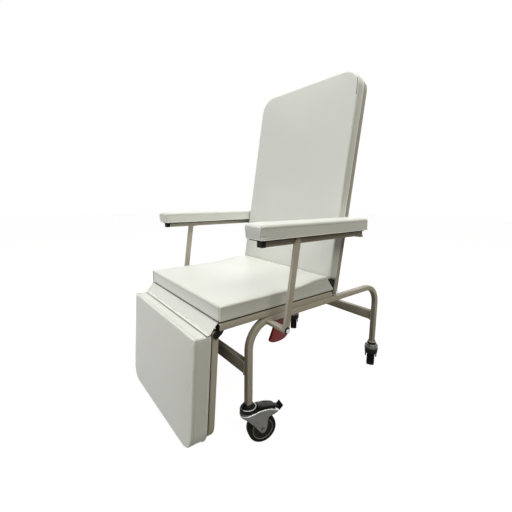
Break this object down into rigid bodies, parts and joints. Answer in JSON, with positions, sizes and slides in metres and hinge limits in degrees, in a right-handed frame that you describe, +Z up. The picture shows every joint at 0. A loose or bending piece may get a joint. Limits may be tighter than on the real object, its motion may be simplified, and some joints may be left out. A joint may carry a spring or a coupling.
{
  "type": "patient recliner chair",
  "caption": "Reclining patient chair on casters: padded seat, tall backrest, leg rest and level armrests linked to move together on a bent tube frame.",
  "frame": {"origin": "on the floor, in the middle of the bounding box", "axes": "+Z up, the chair faces -Y, the sitter's left is +X"},
  "size_m": [0.678, 0.9614, 1.1993],
  "materials": {
    "vinyl": "padded upholstery with a smooth vinyl cover",
    "vinyl_strip": "thin vinyl sheet",
    "frame_paint": "satin warm grey powder coat",
    "dark_paint": "satin black powder coat",
    "board": "plywood",
    "black_plastic": "moulded black",
    "tyre": "black tread",
    "zinc": "bright zinc plate",
    "steel": "turned",
    "red_plastic": "moulded red"
  },
  "bodies": {
    "base": {"base_side_left": "frame_paint", "base_side_right": "frame_paint", "front_cross_bar": "frame_paint", "rear_cross_bar": "frame_paint", "seat_frame": "frame_paint", "seat_board": "board", "seat_cushion": "vinyl", "spring_bracket": "dark_paint", "gas_cylinder": "black_plastic", "hinge_flap": "vinyl_strip", "arm_stub_left": "frame_paint", "post_bolt_left": "zinc", "back_hinge_bracket_left": "frame_paint", "back_hinge_bolt_left": "zinc", "leg_hinge_bracket_left": "dark_paint", "arm_stub_right": "frame_paint", "post_bolt_right": "zinc", "back_hinge_bracket_right": "frame_paint", "back_hinge_bolt_right": "zinc", "leg_hinge_bracket_right": "dark_paint", "caster_stem_front_left": "zinc", "caster_stem_front_right": "zinc", "caster_stem_rear_left": "zinc", "caster_stem_rear_right": "zinc"},
    "backrest": {"back_side_tube_left": "frame_paint", "back_side_tube_right": "frame_paint", "back_lower_tube": "frame_paint", "back_board": "board", "back_cushion": "vinyl"},
    "leg_rest": {"leg_side_tube_left": "frame_paint", "leg_side_tube_right": "frame_paint", "leg_top_tube": "frame_paint", "leg_board": "board", "leg_cushion": "vinyl"},
    "push_rod": {"leg_push_rod": "zinc"},
    "spring_rod": {"gas_rod": "steel"},
    "release": {"release_lever": "red_plastic", "release_shaft": "steel"},
    "post_left": {"front_post_left": "frame_paint"},
    "armrest_left": {"arm_rail_left": "frame_paint", "arm_cap_left": "black_plastic", "arm_pad_left": "vinyl"},
    "post_right": {"front_post_right": "frame_paint"},
    "armrest_right": {"arm_rail_right": "frame_paint", "arm_cap_right": "black_plastic", "arm_pad_right": "vinyl"},
    "swivel_front_left": {"caster_fork_front_left": "zinc"},
    "wheel_front_left": {"caster_tyre_front_left": "tyre", "caster_hub_front_left": "black_plastic"},
    "swivel_front_right": {"caster_fork_front_right": "zinc"},
    "wheel_front_right": {"caster_tyre_front_right": "tyre", "caster_hub_front_right": "black_plastic"},
    "swivel_rear_left": {"caster_fork_rear_left": "zinc"},
    "wheel_rear_left": {"caster_tyre_rear_left": "tyre", "caster_hub_rear_left": "black_plastic"},
    "swivel_rear_right": {"caster_fork_rear_right": "zinc"},
    "wheel_rear_right": {"caster_tyre_rear_right": "tyre", "caster_hub_rear_right": "black_plastic"},
    "pedal_left": {"brake_pedal_front_left": "black_plastic"},
    "pedal_right": {"brake_pedal_front_right": "black_plastic"}
  },
  "joints": [
    {"name": "recline", "type": "hinge", "parent": "base", "child": "backrest", "pos_m": [0, 0.1047, 0.415], "axis": [-1, 0, 0], "range_deg": [0, 60]},
    {"name": "leg_lift", "type": "hinge", "parent": "base", "child": "leg_rest", "pos_m": [0, -0.3903, 0.385], "axis": [-1, 0, 0], "range_deg": [0, 60], "deforming": ["hinge_flap"]},
    {"name": "rod_swing", "type": "hinge", "parent": "backrest", "child": "push_rod", "pos_m": [0, 0.1472, 0.34139], "axis": [-1, 0, 0], "range_deg": [-60, 0]},
    {"name": "spring_stroke", "type": "slide", "parent": "base", "child": "spring_rod", "axis": [0, 1, 0], "range_m": [-0.06747, 0]},
    {"name": "release_pull", "type": "hinge", "parent": "base", "child": "release", "pos_m": [0, -0.1293, 0.373], "axis": [-1, 0, 0], "range_deg": [0, 18], "stiffness_Nm_per_rad": 2, "springref_deg": -2.86},
    {"name": "post_swing_left", "type": "hinge", "parent": "base", "child": "post_left", "pos_m": [0, -0.2173, 0.384], "axis": [-1, 0, 0], "range_deg": [0, 60]},
    {"name": "arm_level_left", "type": "hinge", "parent": "backrest", "child": "armrest_left", "pos_m": [0, 0.14021, 0.6677], "axis": [-1, 0, 0], "range_deg": [-60, 0]},
    {"name": "post_swing_right", "type": "hinge", "parent": "base", "child": "post_right", "pos_m": [0, -0.2173, 0.384], "axis": [-1, 0, 0], "range_deg": [0, 60]},
    {"name": "arm_level_right", "type": "hinge", "parent": "backrest", "child": "armrest_right", "pos_m": [0, 0.14021, 0.6677], "axis": [-1, 0, 0], "range_deg": [-60, 0]},
    {"name": "swivel_turn_front_left", "type": "hinge", "parent": "base", "child": "swivel_front_left", "pos_m": [0.24, -0.2843, 0], "axis": [0, 0, 1], "continuous": true},
    {"name": "wheel_roll_front_left", "type": "hinge", "parent": "swivel_front_left", "child": "wheel_front_left", "pos_m": [0.25185, -0.24297, 0.046], "axis": [-0.9613, 0.2756, 0], "continuous": true},
    {"name": "swivel_turn_front_right", "type": "hinge", "parent": "base", "child": "swivel_front_right", "pos_m": [-0.24, -0.2843, 0], "axis": [0, 0, 1], "continuous": true},
    {"name": "wheel_roll_front_right", "type": "hinge", "parent": "swivel_front_right", "child": "wheel_front_right", "pos_m": [-0.21981, -0.24634, 0.046], "axis": [-0.8829, 0.4695, 0], "continuous": true},
    {"name": "swivel_turn_rear_left", "type": "hinge", "parent": "base", "child": "swivel_rear_left", "pos_m": [0.24, 0.3947, 0], "axis": [0, 0, 1], "continuous": true},
    {"name": "wheel_roll_rear_left", "type": "hinge", "parent": "swivel_rear_left", "child": "wheel_rear_left", "pos_m": [0.2185, 0.43194, 0.046], "axis": [-0.866, -0.5, 0], "continuous": true},
    {"name": "swivel_turn_rear_right", "type": "hinge", "parent": "base", "child": "swivel_rear_right", "pos_m": [-0.24, 0.3947, 0], "axis": [0, 0, 1], "continuous": true},
    {"name": "wheel_roll_rear_right", "type": "hinge", "parent": "swivel_rear_right", "child": "wheel_rear_right", "pos_m": [-0.27093, 0.42457, 0.046], "axis": [-0.6947, -0.7193, 0], "continuous": true},
    {"name": "brake_pedal_lift_left", "type": "hinge", "parent": "swivel_front_left", "child": "pedal_left", "pos_m": [0.24, -0.2843, 0.114], "axis": [0.9613, -0.2756, 0], "range_deg": [0, 12]},
    {"name": "brake_pedal_lift_right", "type": "hinge", "parent": "swivel_front_right", "child": "pedal_right", "pos_m": [-0.24, -0.2843, 0.114], "axis": [0.8829, -0.4695, 0], "range_deg": [0, 12]}
  ],
  "couplings": [
    {"joint": "leg_lift", "follows": "recline", "ratio": 1},
    {"joint": "rod_swing", "follows": "recline", "ratio": -1},
    {"joint": "spring_stroke", "follows": "recline", "m_per_rad": -0.063954},
    {"joint": "post_swing_left", "follows": "recline", "ratio": 1},
    {"joint": "arm_level_left", "follows": "recline", "ratio": -1},
    {"joint": "post_swing_right", "follows": "recline", "ratio": 1},
    {"joint": "arm_level_right", "follows": "recline", "ratio": -1}
  ]
}
